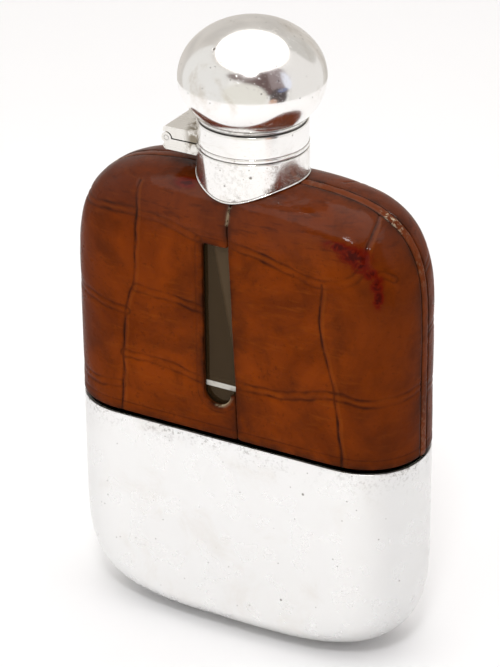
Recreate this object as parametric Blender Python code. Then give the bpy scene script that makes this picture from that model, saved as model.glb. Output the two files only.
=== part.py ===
"""Hip flask: a glass bottle in a leather jacket, standing in a silver drinking cup.

A hinged ring on the neck carries a hollow bun, whose bayonet lugs lock the cork liner down.
Dimensions are in millimetres and become metres as each mesh is made. The origin is the
middle of the cup's foot, +Z is up, the front with the window faces -Y, and the hinge is at -X.
"""
import math

import bmesh
import bpy
from mathutils import Matrix, Vector

MM = 0.001
GAP = 0.3  # clearance between pieces that touch each other on the real flask

# Body: a pillow with a flat front and back, round corners and soft edges
BODY_WIDTH = 88.0
BODY_THICKNESS = 30.2
BODY_TOP = 114.7
SIDE_EDGE = 16.1  # how far the soft edge reaches in from the sides
SIDE_EDGE_POWER = 2.22
TOP_EDGE = 11.0
TOP_EDGE_POWER = 2.65
FOOT_EDGE = 7.7
FOOT_EDGE_POWER = 1.7
TOP_CORNER = 35.4  # height over which the top corners round off
TOP_CORNER_POWER = 3.94
FOOT_CORNER = 32.1
FOOT_CORNER_POWER = 3.7
FOOT_SUNK = 1.0  # the round underside is flattened by this much to stand on
FOOT_FLAT = 0.37  # share of the thickness over which the flattened foot reaches

# Layers of the body, counted inwards from its outer surface
LEATHER = 1.3
CUP_WALL = 0.9
GLASS_INSET = 1.6
GLASS_WALL = 3.0
CUP_RIM = 52.35
LEATHER_FOOT = 53.5
WELT_WIDTH = 2.75

# Window and butt seam in the front leather
SEAM_X_LOW = 3.85  # at the leather's foot
SEAM_X_HIGH = 1.5  # at the collar's foot
SEAM_HIGH_Z = 110.0
WINDOW_LEFT = -4.25
WINDOW_TOP = 100.8
WINDOW_FOOT = 61.6
WINDOW_CORNER = 3.4

# Neck and cap, turned about the Z axis
SEAM_Z = 121.3  # where the hinged ring meets the collar, and the height of the hinge pin
RING_TOP = 127.6
COLLAR_RADIUS = 12.77
COLLAR_FOOT_RADIUS = 13.0
RING_RADIUS = 12.65
RING_BEAD_HEIGHT = 0.9
SHELL_BORE = 12.1  # inside of the collar and of the hinged ring
NECK_RADIUS = 9.4
NECK_BORE = 7.4
NECK_TOP = SEAM_Z + 0.4
SOCKET_RADIUS = 11.6
SOCKET_WALL = 0.5
SOCKET_LIP_BORE = 10.1
SOCKET_LIP_LOW = SEAM_Z + 3.3
SOCKET_TOP = SEAM_Z + 4.2
NOTCH_HALF_WIDTH = 3.2
SLEEVE_RADIUS = 9.0
SLEEVE_BORE = 8.3
SLEEVE_FOOT = SEAM_Z + 0.8
LUG_REACH = 10.6
LUG_HALF_WIDTH = 2.2
LUG_FOOT = SEAM_Z + 1.0
LUG_TOP = SEAM_Z + 2.4
BUN_RADIUS = 16.7
BUN_HALF_HEIGHT = 13.2
BUN_CENTRE = 137.3
BUN_WALL = 0.8
BUN_FOOT = 127.95
BUN_FOOT_RADIUS = 12.4

# Hinge on the neck's left side
PIN_X = -18.45
PIN_RADIUS = 0.55
KNUCKLE_RADIUS = 1.25
KNUCKLE_BORE = 0.65
LEAF_HALF_WIDTH = 7.0
MIDDLE_KNUCKLE = 2.3  # half length of the upper leaf's knuckle
LEAF_THICKNESS = 2.8
LEAF_END = -18.9

# Fineness of the curved surfaces
CORNER_STEPS = 11
EDGE_STEPS = 5
ROUND_STEPS = 40
BUN_STEPS = 11
PIN_STEPS = 20
FAR = 60.0  # beyond the part in every sideways direction


def clear_scene():
    for item in list(bpy.data.objects):
        bpy.data.objects.remove(item, do_unlink=True)


def make_material(name, colour, roughness, metallic=0.0, transmission=0.0):
    material = bpy.data.materials.new(name)
    material.use_nodes = True
    shader = material.node_tree.nodes["Principled BSDF"]
    shader.inputs["Base Color"].default_value = (*colour, 1.0)
    shader.inputs["Roughness"].default_value = roughness
    shader.inputs["Metallic"].default_value = metallic
    shader.inputs["Transmission Weight"].default_value = transmission
    material.diffuse_color = (*colour, 1.0)
    return material


def make_object(name, mesh_maker, material=None, smooth=35.0):
    """Turn a bmesh in millimetres into an object; without a material it is a cutter."""
    bmesh.ops.recalc_face_normals(mesh_maker, faces=mesh_maker.faces)
    bmesh.ops.scale(mesh_maker, vec=(MM, MM, MM), verts=mesh_maker.verts)
    mesh = bpy.data.meshes.new(name)
    mesh_maker.to_mesh(mesh)
    mesh_maker.free()
    mesh.shade_smooth()
    mesh.set_sharp_from_angle(angle=math.radians(smooth))
    item = bpy.data.objects.new(name, mesh)
    bpy.context.scene.collection.objects.link(item)
    if material is None:
        item.hide_render = True
        item.display_type = "WIRE"
    else:
        mesh.materials.append(material)
    return item


def combine(item, tool, operation):
    modifier = item.modifiers.new(operation.lower() + "_" + tool.name, "BOOLEAN")
    modifier.operation = operation
    modifier.object = tool
    modifier.solver = "EXACT"


def edge_inset(depth, power, across):
    """How far a soft edge has drawn in where the surface is `across` (0 to 1) of the way out."""
    return depth * (1.0 - (1.0 - across ** power) ** (1.0 / power))


def corner_points(half_width, height, power, steps):
    """A quarter of a superellipse from (half_width, 0) to (0, height)."""
    points = []
    for step in range(steps + 1):
        angle = math.pi / 2.0 * step / steps
        cosine, sine = max(math.cos(angle), 0.0), math.sin(angle)
        reach = (cosine ** power + sine ** power) ** (-1.0 / power)
        points.append((half_width * cosine * reach, height * sine * reach))
    return points


def pillow_outline(inset, across, floor):
    """One closed X-Z outline of the body, `inset` inside its surface."""
    side = BODY_WIDTH / 2.0 - inset
    side -= edge_inset(SIDE_EDGE - inset, SIDE_EDGE_POWER, across)
    top = TOP_CORNER - inset - edge_inset(TOP_EDGE - inset, TOP_EDGE_POWER, across)
    foot = FOOT_CORNER - inset - edge_inset(FOOT_EDGE - inset, FOOT_EDGE_POWER, across)
    upper = corner_points(side, top, TOP_CORNER_POWER, CORNER_STEPS)
    lower = corner_points(side, foot, FOOT_CORNER_POWER, CORNER_STEPS)
    shoulder = BODY_TOP - TOP_CORNER
    knee = FOOT_CORNER - FOOT_SUNK
    outline = [(x, shoulder + z) for x, z in upper]
    outline += [(-x, shoulder + z) for x, z in reversed(upper[:-1])]
    outline += [(-x, max(knee - z, floor)) for x, z in lower]
    outline += [(x, max(knee - z, floor)) for x, z in reversed(lower[:-1])]
    return outline


def pillow(inset, floor=-FAR):
    """The body's closed shape, `inset` inside its surface and flattened at `floor`."""
    maker = bmesh.new()
    half = BODY_THICKNESS / 2.0 - inset
    rings = []
    for step in range(-EDGE_STEPS, EDGE_STEPS + 1):
        turn = math.pi / 2.0 * step / EDGE_STEPS
        across = abs(math.sin(turn)) ** (2.0 / SIDE_EDGE_POWER)
        if abs(step) == 1:
            across = FOOT_FLAT
        outline = pillow_outline(inset, across, floor)
        depth = math.copysign(half * across, step)
        rings.append([maker.verts.new((x, depth, z)) for x, z in outline])
    for near, far in zip(rings, rings[1:]):
        for index in range(len(near)):
            after = (index + 1) % len(near)
            maker.faces.new((near[index], near[after], far[after], far[index]))
    maker.faces.new(rings[0])
    maker.faces.new(rings[-1])
    return maker


def turned(profile, steps=ROUND_STEPS):
    """Spin a closed (radius, height) profile about the Z axis."""
    maker = bmesh.new()
    corners = [maker.verts.new((radius, 0.0, height)) for radius, height in profile]
    edges = [maker.edges.new((corners[i - 1], corners[i])) for i in range(len(corners))]
    bmesh.ops.spin(maker, geom=corners + edges, cent=(0, 0, 0), axis=(0, 0, 1),
                   angle=2.0 * math.pi, steps=steps, use_merge=True)
    bmesh.ops.remove_doubles(maker, verts=maker.verts, dist=0.0001)
    return maker


def tube(inner, outer, low, high, steps=ROUND_STEPS):
    return turned([(inner, low), (outer, low), (outer, high), (inner, high)], steps)


def disc(radius, low, high, steps=ROUND_STEPS):
    maker = bmesh.new()
    bmesh.ops.create_cone(maker, cap_ends=True, segments=steps, radius1=radius, radius2=radius,
                          depth=high - low)
    bmesh.ops.translate(maker, vec=(0, 0, (low + high) / 2.0), verts=maker.verts)
    return maker


def block(low, high):
    maker = bmesh.new()
    bmesh.ops.create_cube(maker, size=1.0)
    size = [b - a for a, b in zip(low, high)]
    middle = [(a + b) / 2.0 for a, b in zip(low, high)]
    bmesh.ops.scale(maker, vec=size, verts=maker.verts)
    bmesh.ops.translate(maker, vec=middle, verts=maker.verts)
    return maker


def prism(outline, near, far):
    """Extrude an X-Z outline along Y."""
    maker = bmesh.new()
    face = maker.faces.new([maker.verts.new((x, near, z)) for x, z in outline])
    swept = bmesh.ops.extrude_face_region(maker, geom=[face])["geom"]
    moved = [part for part in swept if isinstance(part, bmesh.types.BMVert)]
    bmesh.ops.translate(maker, vec=(0, far - near, 0), verts=moved)
    return maker


def barrel(radius, near, far, steps=PIN_STEPS):
    """A round bar along Y on the hinge pin's axis."""
    maker = bmesh.new()
    bmesh.ops.create_cone(maker, cap_ends=True, segments=steps, radius1=radius, radius2=radius,
                          depth=far - near)
    bmesh.ops.rotate(maker, matrix=Matrix.Rotation(math.pi / 2.0, 3, "X"), verts=maker.verts)
    bmesh.ops.translate(maker, vec=(PIN_X, (near + far) / 2.0, SEAM_Z), verts=maker.verts)
    return maker


def seam_x(z):
    """The butt seam leans a little, so its place depends on the height."""
    share = (z - LEATHER_FOOT) / (SEAM_HIGH_Z - LEATHER_FOOT)
    return SEAM_X_LOW + (SEAM_X_HIGH - SEAM_X_LOW) * share


def make_cup(silver):
    cup = make_object("drinking_cup", pillow(0.0, floor=0.0), silver)
    above = make_object("cup_trim", block((-FAR, -FAR, CUP_RIM), (FAR, FAR, 3 * FAR)))
    hollow = make_object("cup_hollow", pillow(CUP_WALL, floor=CUP_WALL))
    combine(cup, above, "DIFFERENCE")
    combine(cup, hollow, "DIFFERENCE")
    return [cup]


def make_glass(glass):
    bottle = make_object("glass_bottle", pillow(GLASS_INSET, floor=CUP_WALL + GAP), glass)
    neck = make_object("neck_stock", disc(NECK_RADIUS, SEAM_Z - 25.0, NECK_TOP))
    hollow = make_object("bottle_hollow", pillow(GLASS_INSET + GLASS_WALL))
    bore = make_object("neck_bore", disc(NECK_BORE, SEAM_Z - 25.0, NECK_TOP + 5.0))
    combine(bottle, neck, "UNION")
    combine(bottle, hollow, "DIFFERENCE")
    combine(bottle, bore, "DIFFERENCE")
    return [bottle]


def window_outline():
    """The slot's outline: square at the top, round at the foot, open into the seam."""
    low = WINDOW_FOOT + WINDOW_CORNER
    steps = 10
    outline = [(seam_x(WINDOW_TOP) + 1.0, WINDOW_TOP), (WINDOW_LEFT + 0.6, WINDOW_TOP),
               (WINDOW_LEFT, WINDOW_TOP - 0.8)]
    centre = WINDOW_LEFT + WINDOW_CORNER
    for step in range(steps + 1):
        angle = math.pi + math.pi * step / steps
        outline.append((centre + WINDOW_CORNER * math.cos(angle),
                        low + WINDOW_CORNER * math.sin(angle)))
    outline.append((seam_x(low) + 1.0, low))
    return outline


def make_jacket(leather):
    """Two front panels that meet at a butt seam, one back panel, and a welt up each side."""
    inner = make_object("jacket_inside", pillow(LEATHER))
    hole = make_object("jacket_neck_hole", disc(SHELL_BORE, SEAM_Z - 20.0, SEAM_Z + 5.0))
    window = make_object("window_slot", prism(window_outline(), -FAR, 0.0))
    half_welt = WELT_WIDTH / 2.0
    half_seam = GAP / 2.0
    low, high = LEATHER_FOOT, BODY_TOP + 5.0
    left_field = [(-FAR, low), (seam_x(low) - half_seam, low), (seam_x(high) - half_seam, high),
                  (-FAR, high)]
    right_field = [(FAR, low), (seam_x(low) + half_seam, low), (seam_x(high) + half_seam, high),
                   (FAR, high)]
    side_field = [(-FAR, low), (0.0, low), (0.0, high), (-FAR, high)]
    fields = {
        "front_leather_left": prism(left_field, -FAR, -half_welt - GAP),
        "front_leather_right": prism(right_field, -FAR, -half_welt - GAP),
        "back_leather": block((-FAR, half_welt + GAP, low), (FAR, FAR, high)),
        "left_welt": prism(side_field, -half_welt, half_welt),
        "right_welt": prism([(-x, z) for x, z in side_field], -half_welt, half_welt),
    }
    panels = []
    for name, field in fields.items():
        panel = make_object(name, pillow(0.0), leather)
        combine(panel, inner, "DIFFERENCE")
        combine(panel, make_object(name + "_field", field), "INTERSECT")
        combine(panel, hole, "DIFFERENCE")
        panels.append(panel)
    combine(panels[0], window, "DIFFERENCE")
    return panels


def make_collar(silver, cement):
    profile = [(SHELL_BORE, SEAM_Z - 13.0), (COLLAR_FOOT_RADIUS, SEAM_Z - 13.0),
               (COLLAR_FOOT_RADIUS, SEAM_Z - 10.0), (COLLAR_RADIUS, SEAM_Z - 6.0),
               (COLLAR_RADIUS, SEAM_Z - GAP / 2.0), (SHELL_BORE, SEAM_Z - GAP / 2.0)]
    collar = make_object("neck_collar", turned(profile), silver)
    combine(collar, make_object("collar_scribe", pillow(-GAP)), "DIFFERENCE")
    fill = make_object("neck_cement", tube(NECK_RADIUS + GAP, SHELL_BORE - GAP, SEAM_Z - 13.0,
                                           SEAM_Z - 1.3), cement)
    combine(fill, make_object("cement_scribe", pillow(GLASS_INSET - GAP)), "DIFFERENCE")
    return [collar, fill]


def make_socket(silver):
    """The fixed half of the bayonet: a lipped ring with two notches for the lugs."""
    cavity = SOCKET_RADIUS - SOCKET_WALL
    flange_bore = NECK_RADIUS + GAP
    profile = [(flange_bore, SEAM_Z - 1.0), (SOCKET_RADIUS, SEAM_Z - 1.0),
               (SOCKET_RADIUS, SOCKET_TOP), (SOCKET_LIP_BORE, SOCKET_TOP),
               (SOCKET_LIP_BORE, SOCKET_LIP_LOW), (cavity, SOCKET_LIP_LOW),
               (cavity, SEAM_Z - 0.2), (flange_bore, SEAM_Z - 0.2)]
    socket = make_object("bayonet_socket", turned(profile), silver)
    slot = block((-NOTCH_HALF_WIDTH, -cavity, LUG_TOP), (NOTCH_HALF_WIDTH, cavity, FAR * 3))
    combine(socket, make_object("lug_notches", slot), "DIFFERENCE")
    return [socket]


def make_leaf(name, silver, upward, gap_barrels, knuckles):
    """A hinge leaf: a plate against the neck with its knuckles on the pin's axis."""
    near = upward * GAP / 2.0
    far = upward * LEAF_THICKNESS
    outline = [(-9.0, near), (LEAF_END, near), (LEAF_END, far * 0.75), (LEAF_END + 0.6, far),
               (-9.0, far)]
    outline = [(x, SEAM_Z + z) for x, z in outline]
    leaf = make_object(name, prism(outline, -LEAF_HALF_WIDTH, LEAF_HALF_WIDTH), silver)
    combine(leaf, make_object(name + "_neck_cut", disc(COLLAR_RADIUS + GAP, 100.0, 140.0)),
            "DIFFERENCE")
    for number, (start, end) in enumerate(gap_barrels):
        relief = make_object(f"{name}_relief_{number}", barrel(KNUCKLE_RADIUS + GAP, start, end))
        combine(leaf, relief, "DIFFERENCE")
    for number, (start, end) in enumerate(knuckles):
        knuckle = make_object(f"{name}_knuckle_{number}", barrel(KNUCKLE_RADIUS, start, end))
        combine(leaf, knuckle, "UNION")
    bore = make_object(name + "_pin_bore", barrel(KNUCKLE_BORE, -FAR, FAR))
    combine(leaf, bore, "DIFFERENCE")
    return leaf


def make_hinge(silver, steel):
    end = LEAF_HALF_WIDTH
    inner = MIDDLE_KNUCKLE
    outer = MIDDLE_KNUCKLE + GAP
    lower = make_leaf("hinge_lower_leaf", silver, -1.0, [(-outer, outer)],
                      [(-end, -outer), (outer, end)])
    upper = make_leaf("hinge_upper_leaf", silver, 1.0, [(-end - 1.0, -inner), (inner, end + 1.0)],
                      [(-inner, inner)])
    pin = make_object("hinge_pin", barrel(PIN_RADIUS, -end, end), steel)
    return lower, upper, pin


def make_ring(silver):
    """The hinged ring round the neck, with a flange that the bun turns on."""
    foot = SEAM_Z + GAP / 2.0
    bead_top = SEAM_Z + RING_BEAD_HEIGHT
    flange_bore = SLEEVE_RADIUS + GAP + 0.1
    flange_low = RING_TOP - 0.7
    profile = [(SHELL_BORE, foot), (COLLAR_RADIUS, foot), (COLLAR_RADIUS, bead_top),
               (RING_RADIUS, bead_top + 0.1), (RING_RADIUS, RING_TOP), (flange_bore, RING_TOP),
               (flange_bore, flange_low), (SHELL_BORE, flange_low)]
    return make_object("hinge_ring", turned(profile), silver)


def bun_profile():
    """The bun's wall: an oblate half outline outside, the same less the wall inside."""
    outer, inner = [], []
    inner_radius = BUN_RADIUS - BUN_WALL
    inner_half_height = BUN_HALF_HEIGHT - BUN_WALL
    mouth = BUN_FOOT_RADIUS - BUN_WALL
    outer_end = math.asin(BUN_FOOT_RADIUS / BUN_RADIUS)
    inner_end = math.asin(mouth / inner_radius)
    for step in range(BUN_STEPS + 1):
        turn = (math.pi - outer_end) * step / BUN_STEPS
        outer.append((BUN_RADIUS * math.sin(turn), BUN_CENTRE + BUN_HALF_HEIGHT * math.cos(turn)))
        turn = (math.pi - inner_end) * step / BUN_STEPS
        inner.append((inner_radius * math.sin(turn),
                      BUN_CENTRE + inner_half_height * math.cos(turn)))
    return outer + [(BUN_FOOT_RADIUS, BUN_FOOT), (mouth, BUN_FOOT)] + inner[::-1]


def turned_shell(profile):
    """Spin an open profile whose two ends are on the axis, so it closes on itself."""
    maker = bmesh.new()
    corners = [maker.verts.new((radius, 0.0, height)) for radius, height in profile]
    edges = [maker.edges.new(pair) for pair in zip(corners, corners[1:])]
    bmesh.ops.spin(maker, geom=corners + edges, cent=(0, 0, 0), axis=(0, 0, 1),
                   angle=2.0 * math.pi, steps=ROUND_STEPS, use_merge=True)
    bmesh.ops.remove_doubles(maker, verts=maker.verts, dist=0.0001)
    return maker


def make_lug(name, side, silver):
    start, end = sorted((side * (SLEEVE_RADIUS + GAP), side * LUG_REACH))
    lug = block((-LUG_HALF_WIDTH, start, LUG_FOOT), (LUG_HALF_WIDTH, end, LUG_TOP))
    piece = make_object(name, lug, silver)
    combine(piece, make_object(name + "_seat", disc(SLEEVE_RADIUS + GAP, 110.0, 130.0)),
            "DIFFERENCE")
    return piece


def make_bun(silver, cork):
    """The bun and what it carries: its floor, the bayonet sleeve and the cork liner."""
    ring_low = SOCKET_TOP + GAP
    cork_low = NECK_TOP + GAP
    cork_top = cork_low + 2.9
    plug_radius = SLEEVE_BORE - GAP
    return [
        make_object("bun_shell", turned_shell(bun_profile()), silver),
        make_object("bun_base_disc", disc(BUN_FOOT_RADIUS - BUN_WALL - GAP, BUN_FOOT,
                                          BUN_FOOT + 0.8), silver),
        make_object("bayonet_sleeve", tube(SLEEVE_BORE, SLEEVE_RADIUS, SLEEVE_FOOT,
                                           BUN_FOOT - GAP), silver),
        make_lug("bayonet_lug_front", -1.0, silver),
        make_lug("bayonet_lug_back", 1.0, silver),
        make_object("retaining_ring", tube(SLEEVE_RADIUS + GAP, 11.0, ring_low, ring_low + 0.8),
                    silver),
        make_object("cork_liner", disc(plug_radius, cork_low, cork_top), cork),
        make_object("cork_backing_disc", disc(plug_radius, cork_top + GAP, cork_top + GAP + 0.6),
                    silver),
    ]


def make_axis(name, place, pieces, parent=None):
    """Parent pieces to an empty on their joint's axis, and that empty to the one before it."""
    axis = bpy.data.objects.new(name, None)
    bpy.context.scene.collection.objects.link(axis)
    axis.location = Vector(place) * MM
    for piece in pieces:
        piece.parent = axis
        piece.matrix_parent_inverse = Matrix.Translation(-axis.location)
    if parent is not None:
        axis.parent = parent
        axis.matrix_parent_inverse = Matrix.Translation(-parent.location)
    return axis


def build():
    clear_scene()
    silver = make_material("silver_plate", (0.86, 0.85, 0.83), 0.16, metallic=1.0)
    steel = make_material("pin_steel", (0.55, 0.52, 0.46), 0.35, metallic=1.0)
    leather = make_material("polished_leather", (0.36, 0.09, 0.02), 0.28)
    glass = make_material("green_glass", (0.62, 0.64, 0.52), 0.05, transmission=0.9)
    cement = make_material("plaster_cement", (0.78, 0.74, 0.64), 0.85)
    cork = make_material("cork", (0.55, 0.37, 0.21), 0.8)

    make_cup(silver)
    lower_leaf, upper_leaf, pin = make_hinge(silver, steel)
    bottle = make_glass(glass) + make_jacket(leather) + make_collar(silver, cement)
    bottle += make_socket(silver) + [lower_leaf, pin]
    slide = make_axis("bottle_slide_axis", (0.0, 0.0, 0.0), bottle)
    hinge = make_axis("cap_hinge_axis", (PIN_X, 0.0, SEAM_Z), [make_ring(silver), upper_leaf],
                      slide)
    make_axis("bun_turn_axis", (0.0, 0.0, BUN_FOOT), make_bun(silver, cork), hinge)


build()
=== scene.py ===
"""Looks of the hip flask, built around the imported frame.

Shapes are worked out in millimetres, in the frame's axes, and become metres as each mesh is made.
"""
import math

import bmesh
import bpy
import numpy as np
from mathutils import Matrix, Vector


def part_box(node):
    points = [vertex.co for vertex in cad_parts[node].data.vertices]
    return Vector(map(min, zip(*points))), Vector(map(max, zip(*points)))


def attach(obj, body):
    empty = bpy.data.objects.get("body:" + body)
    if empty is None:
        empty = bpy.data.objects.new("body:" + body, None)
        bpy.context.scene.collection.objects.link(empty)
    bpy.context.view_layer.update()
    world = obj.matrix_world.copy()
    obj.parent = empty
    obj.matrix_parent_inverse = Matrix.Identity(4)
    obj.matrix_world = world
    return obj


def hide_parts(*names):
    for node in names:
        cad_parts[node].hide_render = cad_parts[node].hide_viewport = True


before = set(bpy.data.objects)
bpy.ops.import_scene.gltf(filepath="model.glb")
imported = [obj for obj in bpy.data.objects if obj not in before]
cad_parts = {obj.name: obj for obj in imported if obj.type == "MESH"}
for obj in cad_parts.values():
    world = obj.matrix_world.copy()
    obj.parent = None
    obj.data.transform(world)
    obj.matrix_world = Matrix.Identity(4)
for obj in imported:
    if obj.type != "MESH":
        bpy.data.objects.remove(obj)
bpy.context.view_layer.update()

MM = 0.001


def node_box(node):
    """A CAD node's lowest and highest corners, in millimetres."""
    low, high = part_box(node)
    return low / MM, high / MM


CUP_HIGH = node_box("drinking_cup")[1]
LEATHER_LOW = node_box("back_leather")[0]
COLLAR_HIGH = node_box("neck_collar")[1]
RING_LOW, RING_HIGH = node_box("hinge_ring")
BUN_LOW, BUN_HIGH = node_box("bun_shell")
PIN_LOW, PIN_HIGH = node_box("hinge_pin")
LEAF_LOW, LEAF_HIGH = node_box("hinge_upper_leaf")
GLASS_LOW, GLASS_HIGH = node_box("glass_bottle")
WELT_HIGH = node_box("right_welt")[1]

# The body's pillow shape
HALF_WIDTH = CUP_HIGH.x
HALF_THICKNESS = CUP_HIGH.y
BODY_TOP = 114.7
CUP_RIM = CUP_HIGH.z
SIDE_EDGE, SIDE_POWER = 16.1, 2.22
TOP_EDGE, TOP_POWER = 11.0, 2.65
FOOT_EDGE, FOOT_POWER = 7.7, 1.7
TOP_CORNER, TOP_CORNER_POWER = 35.4, 3.94
FOOT_CORNER, FOOT_CORNER_POWER = 32.1, 3.7
FOOT_SUNK = 1.0
SHOULDER = BODY_TOP - TOP_CORNER
KNEE = FOOT_CORNER - FOOT_SUNK

# Layers
LEATHER = 1.3
CUP_WALL = 0.9
GLASS_INSET = 1.6
GLASS_WALL = 3.0
LEATHER_FOOT = LEATHER_LOW.z
PANEL_GAP = 0.1  # from the CAD's welt to a panel
COLLAR_GAP = 0.05  # from a panel to the collar's bore
SEAM_GAP = 0.03  # from a panel to the middle of the butt seam

# The butt seam and the window in the front leather
SEAM_LOW, SEAM_HIGH, SEAM_HIGH_Z = 3.85, 1.5, 110.0
WINDOW_LEFT, WINDOW_TOP, WINDOW_FOOT = -4.9, 101.4, 61.3
WINDOW_HALF = 3.5

# Neck and cap
SEAM_Z = (PIN_LOW.z + PIN_HIGH.z) / 2.0
PIN_X = (PIN_LOW.x + PIN_HIGH.x) / 2.0
COLLAR_RADIUS = 12.77
RING_RADIUS = 12.65
SHELL_BORE = 12.1
BUN_RADIUS = 16.7
BUN_HALF_HEIGHT = 13.2
BUN_CENTRE = 137.3
BUN_FOOT_RADIUS = 12.4
BUN_WALL = 0.8
NECK_RADIUS, NECK_BORE = 9.4, 7.4
NECK_RUN = 25.0  # how far the neck goes on below the cap's seam, into the shoulder

# Hinge
LEAF_LEAN = 0.5  # how far back a leaf's end is for each millimetre away from the cap's seam
LEAF_CORNER = 0.9
LEAF_GAP = 0.15  # from the cap's seam to each leaf
LEAF_ROOT_X = -9.0
KNUCKLE_RADIUS, RELIEF_RADIUS, PIN_BORE = 1.25, 1.55, 0.65
MIDDLE_KNUCKLE, KNUCKLE_GAP = 2.3, 0.2

# Camera
CAMERA_AZIMUTH = math.radians(30.13)
CAMERA_ELEVATION = math.radians(26.61)
CAMERA_ROLL = math.radians(-0.565)
CAMERA_DISTANCE = 0.7277
CAMERA_TARGET = Vector((-0.00126, 0.0, 0.0731))
CAMERA_LENS = 170.16

# Stage
OVERHEAD_RADIANCE = 1.24
KEY_RADIANCE = 45.0
FLOOR_HALF = 3.0
PANEL_SOFT = 2.5  # half the width of a studio screen's soft border, in degrees


# ---- mesh helpers

def put(name, data):
    """Make an object and put it in the scene."""
    thing = bpy.data.objects.new(name, data)
    bpy.context.scene.collection.objects.link(thing)
    return thing


def loose(name, maker):
    """Make an object that is on no body yet."""
    mesh = bpy.data.meshes.new(name)
    maker.to_mesh(mesh)
    maker.free()
    return put(name, mesh)


def dress(piece, material, body, node):
    """Give a piece its material and hand it to the frame in place of a CAD node."""
    piece.data.materials.clear()
    piece.data.materials.append(material)
    piece.data.shade_smooth()
    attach(piece, body)
    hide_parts(node)
    return piece


def finish_mesh(name, points, faces, material, body, node, layers):
    """Make a piece from points in millimetres; layers are values at the points."""
    mesh = bpy.data.meshes.new(name)
    mesh.from_pydata((np.asarray(points, float) * MM).tolist(), [], faces)
    for key, values in layers.items():
        attribute = mesh.attributes.new(key, "FLOAT", "POINT")
        attribute.data.foreach_set("value", np.asarray(values, np.float32))
    mesh.validate()
    return dress(put(name, mesh), material, body, node)


def face_out(piece):
    """Turn a closed piece's faces outwards."""
    maker = bmesh.new()
    maker.from_mesh(piece.data)
    bmesh.ops.remove_doubles(maker, verts=maker.verts, dist=1e-7)
    bmesh.ops.recalc_face_normals(maker, faces=maker.faces)
    maker.to_mesh(piece.data)
    maker.free()
    return piece


def soften(piece, width, angle=35.0):
    """Round a piece's hard edges."""
    bevel = piece.modifiers.new("soft_edges", "BEVEL")
    bevel.width = width * MM
    bevel.segments = 3
    bevel.limit_method = "ANGLE"
    bevel.angle_limit = math.radians(angle)
    bevel.harden_normals = True
    return piece


def turned(profile, steps=160, closed=True):
    """Points and faces of a (radius, height) profile turned about the Z axis."""
    profile = np.asarray(divide_runs(profile, closed), float)
    angles = np.linspace(0.0, 2.0 * math.pi, steps, endpoint=False)
    points = np.empty((steps, len(profile), 3))
    points[:, :, 0] = np.cos(angles)[:, None] * profile[:, 0]
    points[:, :, 1] = np.sin(angles)[:, None] * profile[:, 0]
    points[:, :, 2] = profile[:, 1]
    return points.reshape(-1, 3), loft_faces(steps, len(profile), True, closed)


def divide_runs(profile, closed, most=0.5):
    """Add points along a profile's long straight runs, so that they shade flat."""
    ends = list(profile[1:]) + ([profile[0]] if closed else [])
    divided = []
    for start, end in zip(profile, ends):
        count = max(1, math.ceil(math.dist(start, end) / most))
        for step in range(count):
            share = step / count
            divided.append((start[0] + (end[0] - start[0]) * share,
                            start[1] + (end[1] - start[1]) * share))
    return divided if closed else divided + [tuple(profile[-1])]


def loft_faces(rows, columns, rows_closed, columns_closed):
    faces = []
    for row in range(rows if rows_closed else rows - 1):
        after = (row + 1) % rows
        for column in range(columns if columns_closed else columns - 1):
            beside = (column + 1) % columns
            faces.append((row * columns + column, after * columns + column,
                          after * columns + beside, row * columns + beside))
    return faces


def shifted(faces, shift):
    return [tuple(index + shift for index in face) for face in faces]


def round_profile(corners, radius):
    """Round the corners of a closed (radius, height) profile."""
    rounded = []
    steps = 4
    for before, corner, after in zip(corners[-1:] + corners, corners, corners[1:] + corners[:1]):
        here = Vector(corner)
        back = Vector(before) - here
        ahead = Vector(after) - here
        reach = min(radius, back.length * 0.45, ahead.length * 0.45)
        start = here + back.normalized() * reach
        end = here + ahead.normalized() * reach
        for step in range(steps + 1):
            share = step / steps
            point = start.lerp(here, share).lerp(here.lerp(end, share), share)
            rounded.append((point.x, point.y))
    return rounded


# ---- the body's surface

def edge_drop(depth, power, across):
    across = np.clip(across, 0.0, 1.0)
    return depth * (1.0 - (1.0 - across ** power) ** (1.0 / power))


def side_reach(across, inset=0.0):
    return HALF_WIDTH - inset - edge_drop(SIDE_EDGE - inset, SIDE_POWER, across)


def top_reach(across, inset=0.0):
    return TOP_CORNER - inset - edge_drop(TOP_EDGE - inset, TOP_POWER, across)


def foot_reach(across, inset=0.0):
    return FOOT_CORNER - inset - edge_drop(FOOT_EDGE - inset, FOOT_POWER, across)


def corner_arc(turns, width, height, power):
    """Points at the given turns on a superellipse's quarter, from its side to its top."""
    sine, cosine = np.sin(turns), np.maximum(np.cos(turns), 0.0)
    reach = (cosine ** power + sine ** power) ** (-1.0 / power)
    return width * cosine * reach, height * sine * reach


def across_at(turn):
    """How far across the body's thickness a turn is, from 0 at the side to 1 on the flat front."""
    return np.abs(np.sin(turn)) ** (2.0 / SIDE_POWER)


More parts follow.
